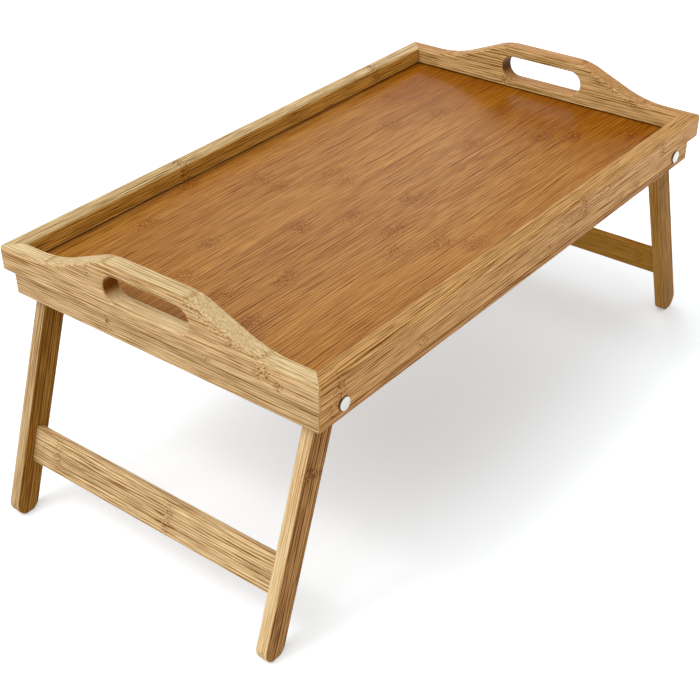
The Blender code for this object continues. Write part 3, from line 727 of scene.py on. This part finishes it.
leg_marks = {"front_left": ((0.053, 0.0, 0.006, 0.012),), "back_left": ((0.016, 0.0, 0.005, 0.012),),
             "front_right": ((0.034, 0.0, 0.006, 0.012),), "back_right": ((0.100, 0.0, 0.006, 0.012),)}
for side, y in (("front", -LEG_Y), ("back", LEG_Y)):
    for end, outward in (("left", -1), ("right", 1)):
        which = f"{side}_{end}"
        name = which + "_leg"
        lean = (0.0, math.pi / 2 - outward * LEG_SPLAY, 0.0)
        stuff = bamboo(name + "_bamboo", lean, (outward * PIVOT_X, y, PIVOT_HEIGHT), LEG_EDGES_AND_LIGHT[which],
                       LEG_FACES_AND_SHADE[which], leg_marks[which], LEG_STRIP, along=2, across=1)
        hole = drill((0, -DRILL_START, 0), (0, DRILL_START, 0), PIVOT_HOLE)
        piece = finished(name + "_wood", leg_form(), stuff, leg_place(outward, y), [hole])
        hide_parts(name)
        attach(piece, end + "_leg_frame")


# Stretchers
# One flat bamboo board between the two legs of a frame, glued on hidden dowels, with its long edges eased.
# No line of glue shows on it, so a strip of its pattern is larger than the board.
STRETCHER_HEIGHT = 0.0284
STRETCHER_THICKNESS = 0.0065
STRETCHER_REACH = 0.132
STRETCHER_SETBACK = 0.0082
STRETCHER_ROUND = 0.001
STRETCHER_STEPS = 5
# The right stretcher is painted darker and more orange than the left one, as painted shade.
STRETCHER_FACES_AND_SHADE = {"left": ("#F0CF9A", "#976C3A"), "right": ("#DDA442", "#A67026")}
STRETCHER_STRIP = (0.1, 0.1)
STRETCHER_KNOTS = 0.65
board_low, board_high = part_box("left_stretcher")


def stretcher_form():
    """Board along Y with rounded long edges, placed from the pivot."""
    center_x = LEG_WIDTH / 2 - STRETCHER_SETBACK - STRETCHER_THICKNESS / 2
    half_thick = STRETCHER_THICKNESS / 2 - STRETCHER_ROUND
    half_high = STRETCHER_HEIGHT / 2 - STRETCHER_ROUND
    section = []
    for corner, (x, z) in enumerate(((1, 1), (-1, 1), (-1, -1), (1, -1))):
        start = 90 * corner
        section += arc((x * half_thick, z * half_high), STRETCHER_ROUND, start, start + 90, STRETCHER_STEPS)
    return loft([[(x + center_x, y, z - STRETCHER_REACH) for x, z in section]
                 for y in (board_low.y, board_high.y)])


stretcher_marks = {"left": ((0.094, 0.055, 0.006, 0.016), (-0.019, 0.055, 0.006, 0.016)),
                   "right": ((-0.103, 0.055, 0.006, 0.016), (0.06, 0.055, 0.006, 0.016))}
for end, outward in (("left", -1), ("right", 1)):
    stuff = bamboo(end + "_stretcher_bamboo", ALONG_Y, (0, 0, 0), STRETCHER_FACES_AND_SHADE[end], STRETCHER_FACES_AND_SHADE[end],
                   stretcher_marks[end], STRETCHER_STRIP, along=1, knots=STRETCHER_KNOTS)
    piece = finished(end + "_stretcher_wood", stretcher_form(), stuff, leg_place(outward, 0))
    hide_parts(end + "_stretcher")
    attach(piece, end + "_leg_frame")


# Dowels
# Round pins of plain bamboo without lacquer, pressed and glued across the mitres and into the stretchers'
# ends, out of sight. The CAD's own dowels are shown, in dull bamboo.
DOWEL_FACE = ("#ECD8AC", "#B8945C")
DOWEL_STRIP = (0.01, 0.01)
DOWEL_ROUGHNESS = 0.5
dowel_stuff = bamboo("dowel_bamboo", ALONG_Y, (0, 0, 0), DOWEL_FACE, DOWEL_FACE, (), DOWEL_STRIP, along=1,
                     roughness=DOWEL_ROUGHNESS)
for name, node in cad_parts.items():
    if "dowel" in name:
        node.data.materials.clear()
        node.data.materials.append(dowel_stuff)


# Pivot screws
# Two-part connector screws of nickel-plated steel: a disc-headed bolt outside, a disc-headed sleeve inside,
# and a nylon washer that keeps the leg off the rail. Turned with a low crown and a rounded rim, then plated.
HEAD_RADIUS = (pivot_high.x - pivot_low.x) / 2
HEAD_THICKNESS = 0.0013
HEAD_CROWN = 0.0003
HEAD_ROUND = 0.0004
HEAD_FLAT = 0.9
HEAD_STEPS = 6
TURN_STEPS = 64
BOLT_RADIUS = 0.002
BOLT_LENGTH = 0.015
SLEEVE_RADIUS = PIVOT_HOLE - SEAM
SLEEVE_SETBACK = 0.0015
SLEEVE_HEAD_CAP = 0.0015
WASHER_RADIUS = 0.007
LEG_SIDE_GAP = HALF_WIDTH - RAIL_THICKNESS - LEG_Y - LEG_THICKNESS / 2
SEAT = RAIL_THICKNESS - STEP_DEPTH
NICKEL = ("#CCCAC5", "#D3D1CC")
NICKEL_ROUGHNESS = (0.20, 0.34)
NICKEL_MOTTLE = 900.0
NYLON = ("#E6E3D8", "#D5D1C3")
NYLON_ROUGHNESS = 0.5
NYLON_MOTTLE = 400.0


def disc_head(seat, outward):
    """Half outline of a low-crowned disc head from its middle to its seat, as (radius, y)."""
    top = seat + outward * HEAD_THICKNESS
    points = [(HEAD_RADIUS * HEAD_FLAT * share, top + outward * HEAD_CROWN * (1 - share ** 2))
              for share in (0, 0.2, 0.4, 0.6, 0.8)]
    rim = arc((HEAD_RADIUS - HEAD_ROUND, HEAD_THICKNESS - HEAD_ROUND), HEAD_ROUND, 90, 0, HEAD_STEPS)
    return points + [(radius, seat + outward * height) for radius, height in rim] + [(HEAD_RADIUS, seat)]


def turned(profile):
    """Solid of revolution about Y from a profile of (radius, y) points."""
    bm = bmesh.new()
    verts = [bm.verts.new((radius, y, 0)) for radius, y in profile]
    edges = [bm.edges.new(pair) for pair in zip(verts, verts[1:])]
    if profile[0][0] > 0:
        edges.append(bm.edges.new((verts[-1], verts[0])))
    bmesh.ops.spin(bm, geom=verts + edges, cent=(0, 0, 0), axis=(0, 1, 0), angle=2 * math.pi,
                   steps=TURN_STEPS, use_merge=True)
    return bm


def nickel():
    """Nickel plate on turned steel: a bright silver metal whose shine is softened by fine mottling."""
    material = bpy.data.materials.new("nickel_plated_steel")
    material.use_nodes = True
    tree = material.node_tree
    shader = tree.nodes["Principled BSDF"]
    shader.inputs["Metallic"].default_value = 1.0
    place = add(tree, "ShaderNodeTexCoord").outputs["Object"]
    cloud = add(tree, "ShaderNodeTexNoise",
                {"Vector": place, "Scale": NICKEL_MOTTLE, "Detail": 3.0}).outputs["Fac"]
    tint = add(tree, "ShaderNodeMix", {0: cloud, 6: linear(NICKEL[0]), 7: linear(NICKEL[1])},
               data_type="RGBA")
    tree.links.new(tint.outputs[2], shader.inputs["Base Color"])
    rough = add(tree, "ShaderNodeMapRange",
                {0: cloud, 3: NICKEL_ROUGHNESS[0], 4: NICKEL_ROUGHNESS[1]}).outputs[0]
    tree.links.new(rough, shader.inputs["Roughness"])
    return material


def nylon():
    """Natural moulded nylon: milky white, matte, faintly mottled."""
    material = bpy.data.materials.new("washer_nylon")
    material.use_nodes = True
    tree = material.node_tree
    shader = tree.nodes["Principled BSDF"]
    place = add(tree, "ShaderNodeTexCoord").outputs["Object"]
    cloud = add(tree, "ShaderNodeTexNoise",
                {"Vector": place, "Scale": NYLON_MOTTLE, "Detail": 2.0}).outputs["Fac"]
    tint = add(tree, "ShaderNodeMix", {0: cloud, 6: linear(NYLON[0]), 7: linear(NYLON[1])}, data_type="RGBA")
    tree.links.new(tint.outputs[2], shader.inputs["Base Color"])
    shader.inputs["Roughness"].default_value = NYLON_ROUGHNESS
    return material


def hardware_tree():
    """Geometry nodes that set one turned form on each pivot, facing out of its rail."""
    tree = bpy.data.node_groups.new("pivot hardware", "GeometryNodeTree")
    face = tree.interface
    face.new_socket("Geometry", in_out="INPUT", socket_type="NodeSocketGeometry")
    face.new_socket("Form", in_out="INPUT", socket_type="NodeSocketObject")
    face.new_socket("Material", in_out="INPUT", socket_type="NodeSocketMaterial")
    face.new_socket("Geometry", in_out="OUTPUT", socket_type="NodeSocketGeometry")
    given = tree.nodes.new("NodeGroupInput").outputs
    form = add(tree, "GeometryNodeObjectInfo", {"Object": given["Form"]}).outputs["Geometry"]
    turn = add(tree, "GeometryNodeInputNamedAttribute", {"Name": "turn"}, data_type="FLOAT").outputs[0]
    spin = add(tree, "ShaderNodeCombineXYZ", {2: turn}).outputs[0]
    heads = add(tree, "GeometryNodeInstanceOnPoints",
                {"Points": given["Geometry"], "Instance": form, "Rotation": spin})
    real = add(tree, "GeometryNodeRealizeInstances", {"Geometry": heads.outputs[0]})
    done = add(tree, "GeometryNodeSetMaterial", {"Geometry": real.outputs[0], "Material": given["Material"]})
    add(tree, "NodeGroupOutput", {0: done.outputs[0]})
    return tree


def hardware(name, node_names, profile, material, tree):
    """One turned form on all four pivots as a single mesh."""
    form = finished(name + "_form", turned(profile), material)
    points = bpy.data.meshes.new(name)
    face_y = HALF_WIDTH - STEP_DEPTH
    places = [(x, y, PIVOT_HEIGHT) for y in (-face_y, face_y) for x in (-PIVOT_X, PIVOT_X)]
    points.from_pydata(places, [], [])
    turns = points.attributes.new("turn", "FLOAT", "POINT")
    for index, place in enumerate(places):
        turns.data[index].value = 0.0 if place[1] < 0 else math.pi
    piece = bpy.data.objects.new(name, points)
    bpy.context.scene.collection.objects.link(piece)
    grown(piece, tree, {"Form": form, "Material": material})
    bpy.data.objects.remove(form)
    piece.data.shade_smooth()
    piece.data.set_sharp_from_angle(angle=SHARP_ANGLE)
    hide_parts(*[f"{node_names}_{side}_{end}" for side in ("front", "back")
                         for end in ("left", "right")])
    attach(piece, "tray")
    return piece


sleeve_seat = SEAT + LEG_SIDE_GAP + LEG_THICKNESS + SEAM
bolt = disc_head(-SEAM, -1) + [(BOLT_RADIUS, -SEAM), (BOLT_RADIUS, BOLT_LENGTH), (0, BOLT_LENGTH)]
sleeve = disc_head(sleeve_seat, 1)
sleeve += [(SLEEVE_RADIUS, sleeve_seat), (SLEEVE_RADIUS, SLEEVE_SETBACK)]
sleeve += [(BOLT_RADIUS + SEAM, SLEEVE_SETBACK)]
sleeve += [(BOLT_RADIUS + SEAM, sleeve_seat - SLEEVE_HEAD_CAP), (0, sleeve_seat - SLEEVE_HEAD_CAP)]
washer = [(PIVOT_HOLE, SEAT + SEAM), (WASHER_RADIUS, SEAT + SEAM),
          (WASHER_RADIUS, SEAT + LEG_SIDE_GAP - SEAM), (PIVOT_HOLE, SEAT + LEG_SIDE_GAP - SEAM)]
plate = nickel()
tree = hardware_tree()
hardware("bolts", "pivot_bolt", bolt, plate, tree)
hardware("sleeves", "pivot_sleeve", sleeve, plate, tree)
hardware("washers", "pivot_washer", washer, nylon(), tree)


# Studio
# White paper floor that keeps the tray's shadow, in a plain white room. One light stands high on the left, a
# little to the back, drawn as a wide sun and a narrow one. A strip light at the back right lays a soft sheen
# on the panel. Light Path changes only how the white looks, not the light that falls on the tray.
FLOOR_SIZE = 12.0
FLOOR_DROP = 0.0002
FLOOR_SEEN = "#F8FAFB"
FLOOR_WHITE = "#CFCFCF"
FLOOR_ROUGHNESS = 0.9
GLOW_COLOR = "#F0F8FC"
FLOOR_GLOW = 0.355
ROOM_LIGHT = 0.60
SUNS = ((1.30, 46.0), (0.23, 9.0))
SUN_HEADING = 160.0
SUN_HEIGHT = 58.0
STRIP_LIGHT_LENGTH = 0.9
STRIP_LIGHT_HEIGHT = 0.2
STRIP_LIGHT_POWER = 2.6
STRIP_LIGHT_PLACE = (0.95, 0.75, 0.87)
STRIP_LIGHT_TILT = -50.0


def seen_directly(tree):
    """1 for what the camera, a shine or a clear part shows of the studio, 0 for the light on the tray."""
    rays = add(tree, "ShaderNodeLightPath").outputs
    share = rays["Is Camera Ray"]
    for name in ("Is Glossy Ray", "Is Transmission Ray"):
        share = add(tree, "ShaderNodeMath", {0: share, 1: rays[name]}, operation="MAXIMUM").outputs[0]
    return share


floor_mesh = bpy.data.meshes.new("floor")
half = FLOOR_SIZE / 2
floor_mesh.from_pydata([(-half, -half, 0), (half, -half, 0), (half, half, 0), (-half, half, 0)], [],
                       [(0, 1, 2, 3)])
floor = bpy.data.objects.new("floor", floor_mesh)
bpy.context.scene.collection.objects.link(floor)
floor.location.z = -FLOOR_DROP
paper = bpy.data.materials.new("white_paper")
paper.use_nodes = True
tree = paper.node_tree
paper_shader = tree.nodes["Principled BSDF"]
paper_shader.inputs["Roughness"].default_value = FLOOR_ROUGHNESS
paper_shader.inputs["Specular IOR Level"].default_value = 0.0
paper_shader.inputs["Emission Color"].default_value = linear(GLOW_COLOR)
shown = seen_directly(tree)
white = add(tree, "ShaderNodeMix", {0: shown, 6: linear(FLOOR_WHITE), 7: linear(FLOOR_SEEN)},
            data_type="RGBA")
tree.links.new(white.outputs[2], paper_shader.inputs["Base Color"])
glow = add(tree, "ShaderNodeMath", {0: shown, 1: FLOOR_GLOW}, operation="MULTIPLY").outputs[0]
tree.links.new(glow, paper_shader.inputs["Emission Strength"])
floor_mesh.materials.append(paper)

world = bpy.data.worlds.new("white_room")
bpy.context.scene.world = world
world.use_nodes = True
tree = world.node_tree
sky = tree.nodes["Background"]
sky.inputs["Color"].default_value = (1, 1, 1, 1)
strength = add(tree, "ShaderNodeMapRange", {0: seen_directly(tree), 3: ROOM_LIGHT, 4: 1.0}).outputs[0]
tree.links.new(strength, sky.inputs["Strength"])

for power, spread in SUNS:
    sun = bpy.data.lights.new("soft_sun", "SUN")
    sun.energy = power
    sun.angle = math.radians(spread)
    sun_holder = bpy.data.objects.new("soft_sun", sun)
    bpy.context.scene.collection.objects.link(sun_holder)
    sun_holder.rotation_euler = (0, math.radians(90 - SUN_HEIGHT), math.radians(SUN_HEADING))

lamp = bpy.data.lights.new("strip_light", "AREA")
lamp.shape = "RECTANGLE"
lamp.size = STRIP_LIGHT_LENGTH
lamp.size_y = STRIP_LIGHT_HEIGHT
lamp.energy = STRIP_LIGHT_POWER
lamp_holder = bpy.data.objects.new("strip_light", lamp)
bpy.context.scene.collection.objects.link(lamp_holder)
lamp_holder.location = STRIP_LIGHT_PLACE
lamp_holder.rotation_euler = (math.radians(STRIP_LIGHT_TILT), 0, 0)


# Camera
# Stands off the tray's left front corner and looks down on it through a short telephoto lens. Its place, turn
# and lens come from a fit to the edges of the tray in the photograph.
SENSOR_WIDTH = 36.0
LENS = 67.185
SHIFT_X = 0.0357
SHIFT_Y = 0.0714
CAMERA_PLACE = (-0.732158, -0.547513, 0.646711)
CAMERA_YAW = -50.4227
CAMERA_PITCH = 54.6264
CAMERA_ROLL = -1.2133
camera_data = bpy.data.cameras.new("camera")
camera_data.sensor_width = SENSOR_WIDTH
camera_data.lens = LENS
camera_data.shift_x = SHIFT_X
camera_data.shift_y = SHIFT_Y
camera = bpy.data.objects.new("camera", camera_data)
bpy.context.scene.collection.objects.link(camera)
yaw = Matrix.Rotation(math.radians(CAMERA_YAW), 4, "Z")
pitch = Matrix.Rotation(math.radians(CAMERA_PITCH), 4, "X")
roll = Matrix.Rotation(math.radians(CAMERA_ROLL), 4, "Z")
camera.matrix_world = Matrix.Translation(CAMERA_PLACE) @ yaw @ pitch @ roll
bpy.context.scene.camera = camera
bpy.context.scene.view_settings.view_transform = "Standard"
